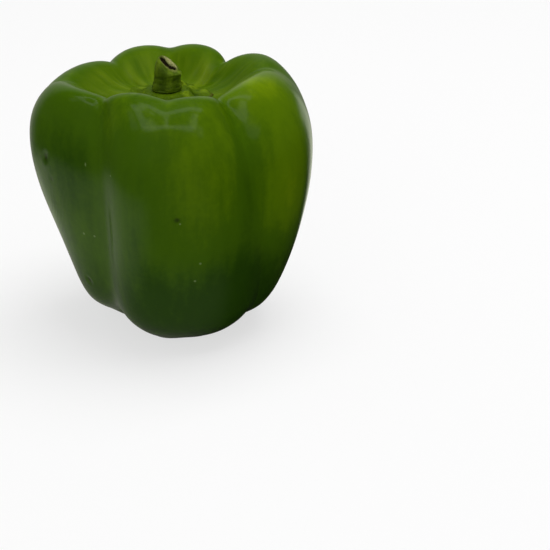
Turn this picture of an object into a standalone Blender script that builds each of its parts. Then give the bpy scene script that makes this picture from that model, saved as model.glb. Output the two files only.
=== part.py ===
"""A blocky green bell pepper, standing on the feet of its four lobes, with its calyx and its cut stalk.

The fruit is one solid. The calyx lies on the floor of the hollow at its top, and the stalk stands on the calyx.
Z is up, and the front of the fruit faces -Y. The sizes below are in millimetres and degrees.
"""

from typing import NamedTuple

import bmesh
import bpy
import numpy as np

MM = 0.001
SKIN_GAP = 0.3  # between pieces that touch

FRUIT_COLUMNS = 96  # a multiple of 8, so that a column runs down every crease and groove
FRUIT_ROWS = 52
FOOT_PRESS = 1.4  # how far the fruit is let down, and what would then stand below 0 is pressed flat


class Ring(NamedTuple):
    """A ring round the fruit, and how far the creases and grooves cut into it."""

    radius: float
    height: float
    crease: float = 0.0  # share of the radius lost in a crease between two lobes
    groove: float = 0.0  # share of the radius lost in the groove down the middle of a lobe
    crease_drop: float = 0.0  # how much lower the ring runs in a crease
    groove_drop: float = 0.0


RINGS = {
    "blossom scar": Ring(0.0, 6.5),
    "scar edge": Ring(6.0, 4.5, 0.10, 0.020, -0.8, -0.3),
    "inner foot": Ring(12.0, 1.3, 0.20, 0.040, -2.4, -0.8),
    "foot": Ring(17.5, 0.0, 0.27, 0.050, -3.5, -1.0),
    "outer foot": Ring(24.0, 2.2, 0.27, 0.055, -3.2, -0.8),
    "heel": Ring(31.0, 8.0, 0.21, 0.055, -1.6, -0.4),
    "low side": Ring(37.0, 20.5, 0.165, 0.060),
    "side": Ring(41.5, 37.0, 0.165, 0.048),
    "belly": Ring(43.5, 53.5, 0.175, 0.026),
    "high side": Ring(43.2, 67.0, 0.200, 0.036, 0.3),
    "shoulder": Ring(38.3, 77.3, 0.210, 0.046, 2.4, 1.0),
    "crest": Ring(29.6, 82.8, 0.150, 0.040, 4.4, 2.9),
    "inner wall": Ring(22.4, 79.4, 0.140, 0.023, 4.2, 3.0),
    "hollow edge": Ring(17.2, 75.6, 0.080, 0.010, 2.4, 1.8),
    "floor edge": Ring(11.2, 73.6),
    "floor": Ring(0.0, 73.5),
}


class Drift(NamedTuple):
    """A value that changes smoothly from the foot of the fruit through its belly to its crest."""

    foot: float
    belly: float
    crest: float


class Fold(NamedTuple):
    """A crease between two lobes or a groove down one: its azimuth from +X, its depth and its softness."""

    azimuth: Drift
    depth: Drift
    softness: Drift  # which keeps its belly value up to near the crest


CREASE_SOFTNESS = Drift(0.16, 0.24, 0.12)
GROOVE_SOFTNESS = Drift(0.40, 0.40, 0.14)

# Creases and grooves take turns, anticlockwise from the crease at the right and back.
FOLDS = {
    "right to back crease": Fold(Drift(45, 43, 51), Drift(1.30, 1.30, 1.30), CREASE_SOFTNESS),
    "back groove": Fold(Drift(92, 92, 91), Drift(1.15, 1.15, 0.95), GROOVE_SOFTNESS),
    "back to left crease": Fold(Drift(136, 137, 131), Drift(0.70, 0.70, 0.70), CREASE_SOFTNESS),
    "left groove": Fold(Drift(181, 186, 177), Drift(1.38, 1.38, 1.38), GROOVE_SOFTNESS),
    "left to front crease": Fold(Drift(221, 237.5, 231), Drift(1.06, 1.02, 1.00), Drift(0.30, 0.45, 0.14)),
    "front groove": Fold(Drift(282, 270, 273), Drift(1.08, 1.08, 1.08), GROOVE_SOFTNESS),
    "front to right crease": Fold(Drift(329, 317, 312), Drift(0.56, 0.56, 1.05), Drift(0.16, 0.24, 0.14)),
    "right groove": Fold(Drift(363, 366, 374), Drift(1.03, 1.03, 1.10), GROOVE_SOFTNESS),
}
FULL_TURN = 360.0
CREASE_GATHERING = 1.25  # above 1, the columns stand closer at the creases


class Shoulder(NamedTuple):
    """Half a lobe: its reach as a share of the ring's radius, and how much its foot and crest are lifted."""

    reach: Drift
    foot_lift: float
    crest_lift: float


SHOULDERS = {
    "back, right half": Shoulder(Drift(0.99, 1.00, 0.98), 0.0, 0.5),
    "back, left half": Shoulder(Drift(1.01, 1.00, 1.00), 0.0, -0.7),
    "left, back half": Shoulder(Drift(0.88, 1.015, 0.975), 0.0, -1.4),
    "left, front half": Shoulder(Drift(0.94, 0.915, 1.11), 2.7, 1.0),
    "front, left half": Shoulder(Drift(0.975, 0.98, 0.965), 0.3, 2.9),
    "front, right half": Shoulder(Drift(1.10, 1.005, 0.98), 1.2, 1.6),
    "right, front half": Shoulder(Drift(0.985, 1.05, 0.95), 0.6, 0.9),
    "right, back half": Shoulder(Drift(1.04, 1.01, 1.115), 0.0, 0.9),
}
LIFT_FADE = (12.0, 25.0)  # radii between which a lift takes hold
CREST_LEAN = -1.0  # along Y

CALYX_COLUMNS = 90
CALYX_ROWS = 18
CALYX_RADIUS = 12.8
CALYX_CROWN = 2.2  # thickness under the stalk
CALYX_EDGE = 0.6  # thickness at the rim
CALYX_TEETH = 6
TOOTH_REACH = 0.9
TOOTH_TURN = 17.0  # azimuth of the first tooth, in degrees
TOOTH_CURL = 0.3  # how much the tips of the teeth stand up
RIB_HEIGHT = 0.5
STALK_SEAT = 5.8  # radius of the flat that the stalk stands on

STALK_COLUMNS = 40
STALK_ROWS = 24
STALK_RIBS = 5
FIRST_RIB = 205.0  # azimuth, in degrees
CUT_RISE = (-0.75, 0.3)  # slope of the cut along X and Y
CUT_RADIUS = 2.8
CUT_START = 4.5  # height at which the sections start to tilt towards the cut
STALK_LEAN = 0.8  # along X, at the cut


class Section(NamedTuple):
    """A section of the stalk, at a height above the calyx."""

    radius: float
    height: float
    rib: float = 0.0


STALK_SECTIONS = {
    "middle of the base": Section(0.0, 0.0),
    "base": Section(3.0, 0.0),
    "base edge": Section(4.4, 0.0, 0.1),
    "flare": Section(4.6, 0.7, 0.2),
    "lower stem": Section(4.3, 2.2, 0.2),
    "stem": Section(4.2, 4.4, 0.2),
    "upper stem": Section(4.15, 6.0, 0.2),
    "shoulder": Section(3.6, 7.3, 0.1),
    "cut edge": Section(CUT_RADIUS, 7.9),
    "pith": Section(1.6, 7.6),
    "middle of the cut": Section(0.0, 7.2),
}

MATERIALS = {
    # name: colour, roughness
    "pepper_skin": ((0.065, 0.150, 0.012), 0.28),
    "calyx_green": ((0.190, 0.300, 0.035), 0.60),
    "stalk_green": ((0.130, 0.220, 0.030), 0.62),
}


def cubic_through(knots, values, at):
    """The natural cubic spline through the rows of values at the knots, read at the given places."""
    gap = np.diff(knots)
    slope = np.diff(values, axis=0) / gap[:, None]
    bend = np.zeros_like(values)
    matrix = np.eye(len(knots))
    for i in range(1, len(knots) - 1):
        matrix[i, i - 1 : i + 2] = gap[i - 1], 2 * (gap[i - 1] + gap[i]), gap[i]
        bend[i] = 6 * (slope[i] - slope[i - 1])
    bend = np.linalg.solve(matrix, bend)
    i = np.clip(np.searchsorted(knots, at) - 1, 0, len(gap) - 1)
    left = ((knots[i + 1] - at) / gap[i])[:, None]
    right = 1 - left
    sag = (gap[i] ** 2)[:, None] / 6
    straight = left * values[i] + right * values[i + 1]
    return straight + sag * ((left**3 - left) * bend[i] + (right**3 - right) * bend[i + 1])


def climb_of(sections):
    """How far along the profile each of its sections is, from 0 at the first to 1 at the last."""
    places = np.array([(section.radius, section.height) for section in sections])
    steps = np.linalg.norm(np.diff(places, axis=0), axis=1)
    return np.concatenate([[0], np.cumsum(steps)]) / steps.sum()


def profile(sections, climb):
    """Reads a profile that starts and ends on the axis, at climb 0 to 1 along it.

    The radius is each section's first value, and it changes sign across the axis.
    """
    knots = climb_of(sections)
    values = np.array(sections, float)
    mirror = np.ones(values.shape[1])
    mirror[0] = -1
    knots = np.concatenate([-knots[3:0:-1], knots, 2 - knots[-2:-5:-1]])
    values = np.vstack([values[3:0:-1] * mirror, values, values[-2:-5:-1] * mirror])
    return cubic_through(knots, values, climb).T


def drift(value, height):
    """The parabola through a Drift's three values, at a height from 0 at the foot to 1 at the crest."""
    foot = value[0] * (1 - height) * (1 - 2 * height)
    belly = value[1] * 4 * height * (1 - height)
    crest = value[2] * height * (2 * height - 1)
    return foot + belly + crest


def rise(away, softness):
    """0 at the bottom of a fold and 1 on the crown of the lobe, like a quarter circle with a softened foot."""
    whole = np.sqrt(1 + softness**2) - softness
    start = (np.sqrt(away**2 + softness**2) - softness) / whole
    arc = np.clip(start * (2 - start), 0, 1)
    return (np.sqrt(arc + softness**2) - softness) / whole


def smooth_step(value, low, high):
    share = np.clip((value - low) / (high - low), 0, 1)
    return share * share * (3 - 2 * share)


def share_of_height(climb, height):
    """0 at and inside the feet, 1 at and inside the crest."""
    knots = dict(zip(RINGS, climb_of(RINGS.values())))
    share = np.clip(height / RINGS["crest"].height, 0, 1)
    share = np.where(climb < knots["foot"], 0, share)
    return np.where(climb > knots["crest"], 1, share)


def gather(column):
    """Moves the columns, counted in folds, towards the creases, which are the even ones."""
    crease = np.floor(column / 2) * 2
    past = column - crease
    near = np.where(past <= 1, past, 2 - past) ** CREASE_GATHERING
    return crease + np.where(past <= 1, near, 2 - near)


def azimuth_of(column, height):
    """The azimuth at a place counted in folds, where each fold drifts round with height."""
    folds = np.array([drift(fold.azimuth, height) for fold in FOLDS.values()])
    folds = np.vstack([folds, folds[:1] + FULL_TURN])
    before = np.floor(column).astype(int)[None]
    low = np.take_along_axis(folds, before, axis=0)[0]
    high = np.take_along_axis(folds, before + 1, axis=0)[0]
    return np.radians(low + (high - low) * (column - before[0]))


def fruit_surface(turn, climb):
    """Points of the fruit's skin. turn runs 0 to 1 round it, and climb 0 to 1 from the blossom scar to the floor."""
    column = gather(np.clip(turn, 0, 1 - 1e-9) * len(FOLDS))
    radius, height, crease, groove, crease_drop, groove_drop = profile(list(RINGS.values()), climb)
    share = share_of_height(climb, height)

    past = column % 2
    away = np.where(past <= 1, past, 2 - past)
    depth = np.array([drift(fold.depth, share) for fold in FOLDS.values()])
    softness = np.array([drift(fold.softness, share**3) for fold in FOLDS.values()])
    here = np.arange(len(column))
    crease_here = (np.round(column / 2).astype(int) * 2) % len(FOLDS), here
    groove_here = np.floor(column / 2).astype(int) * 2 + 1, here
    in_crease = (1 - rise(away, softness[crease_here])) * depth[crease_here]
    in_groove = (1 - rise(1 - away, softness[groove_here])) * depth[groove_here]

    halves = np.array([(*half.reach, half.foot_lift, half.crest_lift) for half in SHOULDERS.values()])
    round_and_round = np.arange(-len(halves) // 2, len(halves) * 3 // 2)
    halves = halves[round_and_round % len(halves)]
    *reach, foot_lift, crest_lift = cubic_through(round_and_round + 0.5, halves, column).T
    lift = foot_lift * (1 - share) ** 4 + crest_lift * share**4

    azimuth = azimuth_of(column, share)
    radius_here = radius * drift(reach, share) * (1 - crease * in_crease - groove * in_groove)
    height = height - crease_drop * in_crease - groove_drop * in_groove
    height = height + lift * smooth_step(radius, *LIFT_FADE)
    height = np.maximum(height - FOOT_PRESS, 0)
    x = radius_here * np.cos(azimuth)
    y = radius_here * np.sin(azimuth) + CREST_LEAN * share
    return np.column_stack([x, y, height])


def floor_height(radius):
    """Height of the hollow's floor, clear of the creases, at a radius up to the hollow's edge."""
    names = ("floor", "floor edge", "hollow edge", "inner wall")
    radii = [RINGS[name].radius for name in names]
    heights = [RINGS[name].height - FOOT_PRESS for name in names]
    return np.interp(radius, radii, heights)


def calyx_surface(turn, climb):
    """Points of the calyx: its underside from the middle out, then its top from the rim back in."""
    angle = turn * 2 * np.pi
    out = np.where(climb < 0.5, 2 * climb, 2 - 2 * climb)
    tooth = np.cos(CALYX_TEETH * (angle - np.radians(TOOTH_TURN)) + 0.6 * np.sin(2 * angle))
    rim = CALYX_RADIUS + TOOTH_REACH * tooth + 0.5 * np.sin(2 * angle + 1)
    radius = out * rim
    curl = TOOTH_CURL * smooth_step(out, 0.55, 1.0) * (0.6 + 0.4 * tooth)
    under = floor_height(radius) + SKIN_GAP + 0.2 * out + curl
    thickness = CALYX_CROWN + (CALYX_EDGE - CALYX_CROWN) * smooth_step(radius, STALK_SEAT, CALYX_RADIUS)
    rib = RIB_HEIGHT * tooth * smooth_step(radius, STALK_SEAT, STALK_SEAT + 2) * (1 - out)
    bulge = np.sqrt(np.clip(1 - out**8, 0, 1))
    top = under + (thickness + rib) * bulge
    top = np.where(radius < STALK_SEAT, seat_height(), top)
    height = np.where(climb < 0.5, under, top)
    x = radius * np.cos(angle)
    y = radius * np.sin(angle) + CREST_LEAN
    return np.column_stack([x, y, height])


def seat_height():
    """Height of the flat on the calyx that the stalk stands on."""
    return floor_height(0.0) + SKIN_GAP + CALYX_CROWN


def stalk_surface(turn, climb):
    """Points of the stalk, from the middle of its base up its side and over the cut to the pith."""
    angle = turn * 2 * np.pi
    radius, height, rib = profile(list(STALK_SECTIONS.values()), climb)
    height = np.maximum(height, 0)
    tilt = smooth_step(height, CUT_START, STALK_SECTIONS["cut edge"].height)
    across = np.minimum(radius, CUT_RADIUS)
    cut_rise = across * (CUT_RISE[0] * np.cos(angle) + CUT_RISE[1] * np.sin(angle))
    radius = radius + rib * np.cos(STALK_RIBS * (angle - np.radians(FIRST_RIB)))
    lean = STALK_LEAN * (height / STALK_SECTIONS["cut edge"].height) ** 2
    x = radius * np.cos(angle) + lean
    y = radius * np.sin(angle) + CREST_LEAN
    return np.column_stack([x, y, seat_height() + SKIN_GAP + height + tilt * cut_rise])


def material(name):
    colour, roughness = MATERIALS[name]
    made = bpy.data.materials.new(name)
    made.use_nodes = True
    made.diffuse_color = (*colour, 1.0)
    shader = made.node_tree.nodes["Principled BSDF"]
    shader.inputs["Base Color"].default_value = (*colour, 1.0)
    shader.inputs["Roughness"].default_value = roughness
    shader.inputs["Metallic"].default_value = 0.0
    return made


def wrap(name, columns, rows, surface, finish, collection, centre):
    """Wraps a sphere onto a surface: its longitude gives the turn, and its latitude the climb."""
    sphere = bmesh.new()
    bmesh.ops.create_uvsphere(sphere, u_segments=columns, v_segments=rows, radius=1.0)
    points = np.array([vertex.co for vertex in sphere.verts])
    turn = np.arctan2(points[:, 1], points[:, 0]) / (2 * np.pi)
    turn = np.round(turn * columns) % columns / columns
    climb = np.arccos(np.clip(-points[:, 2], -1, 1)) / np.pi
    places = (surface(turn, climb) - centre) * MM
    for vertex, place in zip(sphere.verts, places):
        vertex.co = place
    mesh = bpy.data.meshes.new(name)
    sphere.to_mesh(mesh)
    sphere.free()
    mesh.shade_smooth()
    mesh.materials.append(material(finish))
    piece = bpy.data.objects.new(name, mesh)
    collection.objects.link(piece)
    return piece


def middle_of_fruit():
    """The middle of the fruit's outline seen from above, which becomes the origin."""
    turn, climb = np.meshgrid(np.arange(FRUIT_COLUMNS) / FRUIT_COLUMNS, np.arange(FRUIT_ROWS + 1) / FRUIT_ROWS)
    points = fruit_surface(turn.ravel(), climb.ravel())
    middle = (points.min(axis=0) + points.max(axis=0)) / 2
    return np.array([middle[0], middle[1], 0.0])


def main():
    for old in list(bpy.data.objects):
        bpy.data.objects.remove(old)
    collection = bpy.data.collections.new("bell_pepper")
    bpy.context.scene.collection.children.link(collection)
    centre = middle_of_fruit()
    wrap("fruit", FRUIT_COLUMNS, FRUIT_ROWS, fruit_surface, "pepper_skin", collection, centre)
    wrap("calyx", CALYX_COLUMNS, CALYX_ROWS, calyx_surface, "calyx_green", collection, centre)
    wrap("stalk", STALK_COLUMNS, STALK_ROWS, stalk_surface, "stalk_green", collection, centre)


if __name__ == "__main__":
    main()
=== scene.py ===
"""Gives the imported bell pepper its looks: the waxy skin of the fruit, the ribbed calyx and the cut stalk.

Z is up, and the front of the fruit faces -Y. Sizes in the tables are millimetres and degrees, apart from
those of the stage, which are metres. Each piece is made in metres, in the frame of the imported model.
"""

import functools
import math
from typing import NamedTuple

import bpy
import numpy as np
from bpy.props import FloatProperty, FloatVectorProperty, IntProperty, PointerProperty
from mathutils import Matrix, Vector, noise


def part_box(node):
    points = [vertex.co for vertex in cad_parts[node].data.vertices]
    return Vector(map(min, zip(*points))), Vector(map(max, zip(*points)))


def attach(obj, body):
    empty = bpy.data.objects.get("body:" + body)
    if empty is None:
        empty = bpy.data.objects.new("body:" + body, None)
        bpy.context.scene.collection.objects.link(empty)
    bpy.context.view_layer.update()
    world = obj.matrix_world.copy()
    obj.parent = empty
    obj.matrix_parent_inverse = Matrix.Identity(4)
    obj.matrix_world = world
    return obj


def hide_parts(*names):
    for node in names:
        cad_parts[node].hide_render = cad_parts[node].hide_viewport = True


bl_info = {
    "name": "Bell Pepper",
    "version": (1, 0, 0),
    "blender": (4, 5, 0),
    "location": "3D View > Sidebar > Pepper",
    "description": "Skins a green bell pepper, its calyx and its cut stalk, and sets up a studio for it",
    "category": "Object",
}

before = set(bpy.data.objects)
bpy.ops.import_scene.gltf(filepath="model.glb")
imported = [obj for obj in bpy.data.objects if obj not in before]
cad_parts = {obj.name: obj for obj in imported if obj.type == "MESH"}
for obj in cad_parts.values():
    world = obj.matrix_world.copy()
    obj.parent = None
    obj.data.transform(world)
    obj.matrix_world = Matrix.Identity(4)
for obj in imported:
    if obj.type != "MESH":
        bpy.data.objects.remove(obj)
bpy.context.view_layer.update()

MM = 0.001
ROOT = "root"
FULL_TURN = 360.0


class Ring(NamedTuple):
    """A ring round the fruit, and how far the creases and grooves cut into it."""

    radius: float
    height: float
    crease: float = 0.0  # share of the radius lost in a crease between two lobes
    groove: float = 0.0  # share of the radius lost in the groove down the middle of a lobe
    crease_drop: float = 0.0  # how much lower the ring runs in a crease
    groove_drop: float = 0.0


RINGS = {
    "blossom scar": Ring(0.0, 6.5),
    "scar edge": Ring(6.0, 4.5, 0.10, 0.020, -0.8, -0.3),
    "inner foot": Ring(12.0, 1.3, 0.20, 0.040, -2.4, -0.8),
    "foot": Ring(17.5, 0.0, 0.27, 0.050, -3.5, -1.0),
    "outer foot": Ring(24.0, 2.2, 0.27, 0.055, -3.2, -0.8),
    "heel": Ring(31.0, 8.0, 0.21, 0.055, -1.6, -0.4),
    "low side": Ring(37.0, 20.5, 0.165, 0.060),
    "side": Ring(41.5, 37.0, 0.165, 0.048),
    "belly": Ring(43.5, 53.5, 0.175, 0.026),
    "high side": Ring(43.2, 67.0, 0.200, 0.036, 0.3),
    "shoulder": Ring(38.3, 77.3, 0.210, 0.046, 2.4, 1.0),
    "crest": Ring(29.6, 82.8, 0.150, 0.040, 4.4, 2.9),
    "inner wall": Ring(22.4, 79.4, 0.140, 0.023, 4.2, 3.0),
    "hollow edge": Ring(17.2, 75.6, 0.080, 0.010, 2.4, 1.8),
    "floor edge": Ring(11.2, 73.6),
    "floor": Ring(0.0, 73.5),
}
FOOT_PRESS = 1.4  # how far the fruit is let down, and what would then stand below 0 is pressed flat


class Drift(NamedTuple):
    """A value that changes smoothly from the foot of the fruit through its belly to its crest."""

    foot: float
    belly: float
    crest: float


class Fold(NamedTuple):
    """A crease between two lobes or a groove down one: its azimuth from +X, its depth and its softness."""

    azimuth: Drift
    depth: Drift
    softness: Drift  # which keeps its belly value up to near the crest


CREASE_SOFTNESS = Drift(0.16, 0.24, 0.12)
GROOVE_SOFTNESS = Drift(0.40, 0.40, 0.14)

# Creases and grooves take turns, anticlockwise from the crease at the right and back.
FOLDS = {
    "right to back crease": Fold(Drift(45, 43, 51), Drift(1.30, 1.30, 1.30), CREASE_SOFTNESS),
    "back groove": Fold(Drift(92, 92, 91), Drift(1.15, 1.15, 0.95), GROOVE_SOFTNESS),
    "back to left crease": Fold(Drift(136, 137, 131), Drift(0.70, 0.70, 0.70), CREASE_SOFTNESS),
    "left groove": Fold(Drift(181, 186, 177), Drift(1.38, 1.38, 1.38), GROOVE_SOFTNESS),
    "left to front crease": Fold(Drift(221, 237.5, 231), Drift(1.06, 1.02, 1.00), Drift(0.30, 0.45, 0.14)),
    "front groove": Fold(Drift(282, 270, 273), Drift(1.08, 1.08, 1.08), GROOVE_SOFTNESS),
    "front to right crease": Fold(Drift(329, 317, 312), Drift(0.56, 0.56, 1.05), Drift(0.16, 0.24, 0.14)),
    "right groove": Fold(Drift(363, 366, 374), Drift(1.03, 1.03, 1.10), GROOVE_SOFTNESS),
}
CREASE_GATHERING = 1.25  # above 1, the columns stand closer at the creases


class Shoulder(NamedTuple):
    """Half a lobe: its reach as a share of the ring's radius, and how much its foot and crest are lifted."""

    reach: Drift
    foot_lift: float
    crest_lift: float


SHOULDERS = {
    "back, right half": Shoulder(Drift(0.99, 1.00, 0.98), 0.0, 0.5),
    "back, left half": Shoulder(Drift(1.01, 1.00, 1.00), 0.0, -0.7),
    "left, back half": Shoulder(Drift(0.88, 1.015, 0.975), 0.0, -1.4),
    "left, front half": Shoulder(Drift(0.94, 0.915, 1.11), 2.7, 1.0),
    "front, left half": Shoulder(Drift(0.975, 0.98, 0.965), 0.3, 2.9),
    "front, right half": Shoulder(Drift(1.10, 1.005, 0.98), 1.2, 1.6),
    "right, front half": Shoulder(Drift(0.985, 1.05, 0.95), 0.6, 0.9),
    "right, back half": Shoulder(Drift(1.04, 1.01, 1.115), 0.0, 0.9),
}
LIFT_FADE = (12.0, 25.0)  # radii between which a lift takes hold
SCAR_EDGE = (1.6, 4.6)  # radii between which the brown scar under the fruit fades
CREST_LEAN = -1.0  # along Y

SKIN_GAP = 0.3  # between pieces that touch
CALYX_RADIUS = 12.8
CALYX_CROWN = 2.2  # thickness under the stalk
CALYX_TEETH = 6
TOOTH_REACH = 0.9
TOOTH_TURN = 17.0  # azimuth of the first tooth, in degrees
COLLAR = (6.5, 0.7, 0.45)  # radius, half width and height of the ring round the stalk
LEAF_FALL = 2.4  # radius over which the calyx thins away from the stalk
LEAF_GAP = 0.08  # between the calyx and the skin under it
LEAF_EDGE = 0.35  # thickness of the calyx at its rim
DEEPEST_VALLEY = 0.15  # how far a valley may cut below the top of the edge
CALYX_LUMPS = ((0.30, 2.6, 1.7), (0.16, 1.1, 5.2))  # height, size and shift of the noise of each
LUMPS_RAISED = 0.12  # added to them all
STALK_SEAT = 5.8  # radius of the flat that the stalk stands on

STALK_RIBS = 5
FIRST_RIB = 205.0  # azimuth, in degrees
CUT_RISE = (-0.75, 0.3)  # slope of the cut along X and Y
CUT_RADIUS = 2.8
CUT_START = 4.5  # height at which the sections start to tilt towards the cut
STALK_LEAN = 0.8  # along X, at the cut
SLIT_PLACE = (-0.45, 0.20)  # on the cut, from its middle
SLIT_HALF = (2.3, 1.15)
SLIT_DEPTH = 1.1
SLIT_RAGGED = (0.55, 1.1)  # how ragged its edge is, and the size of the notches
BRANCH_PLACE = (1.1, 0.75)  # a side crack
BRANCH_HALF = (0.9, 0.35)


class Section(NamedTuple):
    """A section of the stalk, at a height above the calyx."""

    radius: float
    height: float
    rib: float = 0.0


STALK_SECTIONS = {
    "middle of the base": Section(0.0, 0.0),
    "base": Section(3.0, 0.0),
    "base edge": Section(4.4, 0.0, 0.1),
    "flare": Section(4.6, 0.7, 0.2),
    "lower stem": Section(4.3, 2.2, 0.2),
    "stem": Section(4.2, 4.4, 0.2),
    "upper stem": Section(4.15, 6.0, 0.2),
    "shoulder": Section(3.6, 7.3, 0.1),
    "cut edge": Section(CUT_RADIUS, 7.9),
    "pith": Section(1.6, 7.6),
    "middle of the cut": Section(0.0, 7.2),
}


class Patch(NamedTuple):
    """A soft patch of the skin: where it is, how far it spreads, and how strong it is."""

    azimuth: float
    place: float  # a height on the side, or a radius in the hollow
    spread_round: float  # degrees
    spread: float
    strength: float


# How much riper the skin is, or greener below 0. Some patches are painted light and shade: painted shade low
# down, by the creases and partly on the left lobe, a painted shadow low on the right, and partly painted
# light on the right lobe.
PATCHES = {
    "olive band down the front lobe": Patch(288, 60, 15, 18, 0.07),
    "right side of the front lobe": Patch(297, 62, 7, 14, 0.12),
    "foot of the olive band": Patch(277, 40, 10, 7, 0.12),
    # Partly riper skin and partly painted light on the lit crest and side of the right lobe.
    "crest of the right lobe": Patch(340, 80, 16, 4, 0.36),
    "right lobe": Patch(337, 62, 14, 14, 0.19),
    "low on the right lobe": Patch(329, 46, 8, 10, 0.32),
    "crease flank on the right": Patch(316, 40, 6, 8, 0.12),
    # Painted shade on the front flank by the crease.
    "front flank": Patch(307, 54, 4, 14, -0.16),
    # Painted shade: deeper green low at the front and at the left foot, and partly on the left lobe.
    "low front": Patch(275, 14, 42, 12, -0.20),
    "left lobe": Patch(216, 58, 20, 14, -0.16),
    "left foot": Patch(205, 18, 26, 12, -0.05),
    "front lobe, left side": Patch(258, 54, 8, 22, -0.10),
    # Painted shadow: the dark patch low on the right.
    "low on the right": Patch(308, 18, 22, 16, -0.32),
    "left lobe, high": Patch(222, 66, 9, 8, -0.08),
    "back lobe": Patch(95, 56, 26, 18, 0.14),
    # Painted shade at the back foot and in the crease at the back.
    "back foot": Patch(80, 14, 40, 12, -0.20),
    "crease at the back": Patch(137, 50, 12, 20, -0.12),
}


class Dent(NamedTuple):
    """A small hollow in the skin: where it is, its half widths round and up the fruit, and its depth."""

    azimuth: float
    height: float
    across: float
    along: float
    depth: float
    tilt: float = 0.0  # degrees, clockwise seen from outside


DENTS = {
    "left": Dent(207, 59.6, 0.9, 1.9, 0.42, -20),
    "under the left dent": Dent(208, 52.5, 0.5, 1.2, 0.20, -15),
    "low on the left": Dent(213, 18.5, 1.0, 1.3, 0.40, 10),
    "front": Dent(275, 49.0, 1.2, 1.0, 0.30),
    "back": Dent(101, 43.0, 1.2, 0.9, 0.30, 30),
    "right": Dent(12, 30.0, 0.9, 1.4, 0.28, -25),
}


class Spot(NamedTuple):
    """A pale scab on the skin; the one under the front dent is a painted highlight."""

    azimuth: float
    height: float
    radius: float


SPOTS = {
    "left, first": Spot(222, 37.0, 0.55),
    "left, second": Spot(228, 36.8, 0.50),
    # Painted highlight: a pale glint under the front dent.
    "glint under the front dent": Spot(276, 47.6, 0.40),
    "front, low": Spot(284, 33.9, 0.50),
    "front, lower": Spot(282, 27.6, 0.50),
    "at the front crease": Spot(245, 59.7, 0.35),
    "back": Spot(84, 51.0, 0.50),
    "right": Spot(352, 22.0, 0.45),
}
SCRATCHES = {
    "left": Dent(229, 60.9, 0.16, 1.3, 0.05, 14),
    "back": Dent(118, 62.0, 0.16, 1.6, 0.05, -30),
}
FILLING = Dent(271, 77.5, 4.6, 7.5, -0.95)  # of the groove under the crest of the front lobe
WRINKLES = Dent(208, 45.5, 4.2, 7.5, 0.22, -28)
WRINKLE_SPACING = 1.5
WRINKLE_BEND = 0.6  # how far a wrinkle wanders
WRINKLE_BEND_SPAN = 3.1


class Ridge(NamedTuple):
    """A ridge down the wall of the hollow, with its azimuths at the crest and at the calyx; its paler colour
    is partly a pale vein and partly painted highlight.
    """

    at_crest: float
    at_calyx: float
    width: float  # degrees
    height: float


HOLLOW_RIDGES = {
    "back right": Ridge(62, 53, 4.6, 0.50),
    "back": Ridge(92, 90, 3.5, 0.18),
    "back left": Ridge(109, 108, 3.0, 0.32),
    "at the left crease": Ridge(131, 124, 3.4, 0.38),
    "left, upper": Ridge(158, 150, 4.0, 0.28),
    "left": Ridge(176, 166, 4.0, 0.22),
    "left, lower": Ridge(196, 188, 4.0, 0.30),
    "front left": Ridge(252, 246, 5.0, 0.20),
    "front right": Ridge(292, 300, 5.0, 0.20),
    "right": Ridge(14, 10, 4.0, 0.22),
}


# Parts of the hollow's wall that are painted darker green as shade.
HOLLOW_SHADES = {
    "back left": Patch(117, 22, 4.0, 5, 1.0),
    "back right": Patch(76, 24, 8, 4, 0.8),
    "right fold": Patch(46, 19, 3.5, 4, 1.0),
    "right": Patch(25, 20, 12, 6, 1.0),
    "right, upper": Patch(33, 27, 8, 4, 0.5),
    "left crease": Patch(140, 18, 5, 4, 0.6),
    "left": Patch(168, 27, 12, 4, 0.4),
    "left, low": Patch(172, 19, 8, 4, 0.4),
}


class Knob(NamedTuple):
    """A lump on the calyx: where it is, how wide it is and how far it stands up."""

    azimuth: float
    radius: float
    spread: float
    height: float


CALYX_KNOBS = {
    "beside the stalk": Knob(44, 6.9, 1.2, 0.9),
    "beside the stalk, front": Knob(332, 6.6, 1.4, 0.8),
    "right": Knob(42, 10.2, 1.2, 0.9),
    "right rim": Knob(24, 12.1, 1.3, 0.9),
    "back of the right rim": Knob(55, 12.6, 1.1, 0.6),
    "valley on the right": Knob(4, 8.2, 1.3, -0.6),
    "valley by the right rim": Knob(351, 10.6, 1.5, -0.6),
    "low on the right": Knob(338, 12.4, 1.2, 0.5),
    "back": Knob(92, 11.0, 1.2, 0.4),
    "front": Knob(285, 9.5, 1.6, 0.4),
    "front left": Knob(235, 9.0, 1.5, 0.35),
    "left": Knob(182, 10.0, 1.6, 0.35),
    "back left": Knob(140, 9.6, 1.5, 0.4),
}


def colour(name, description, default):
    return FloatVectorProperty(
        name=name, description=description, subtype="COLOR", size=3, min=0.0, max=1.0, default=default
    )


def number(name, description, default, **kind):
    return FloatProperty(name=name, description=description, min=0.0, default=default, **kind)


def length(name, description, default):
    return number(name, description, default * MM, subtype="DISTANCE", unit="LENGTH")


def share(name, description, default):
    return number(name, description, default, subtype="FACTOR", max=1.0)


def count(name, description, default, least):
    return IntProperty(name=name, description=description, min=least, default=default)


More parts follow.
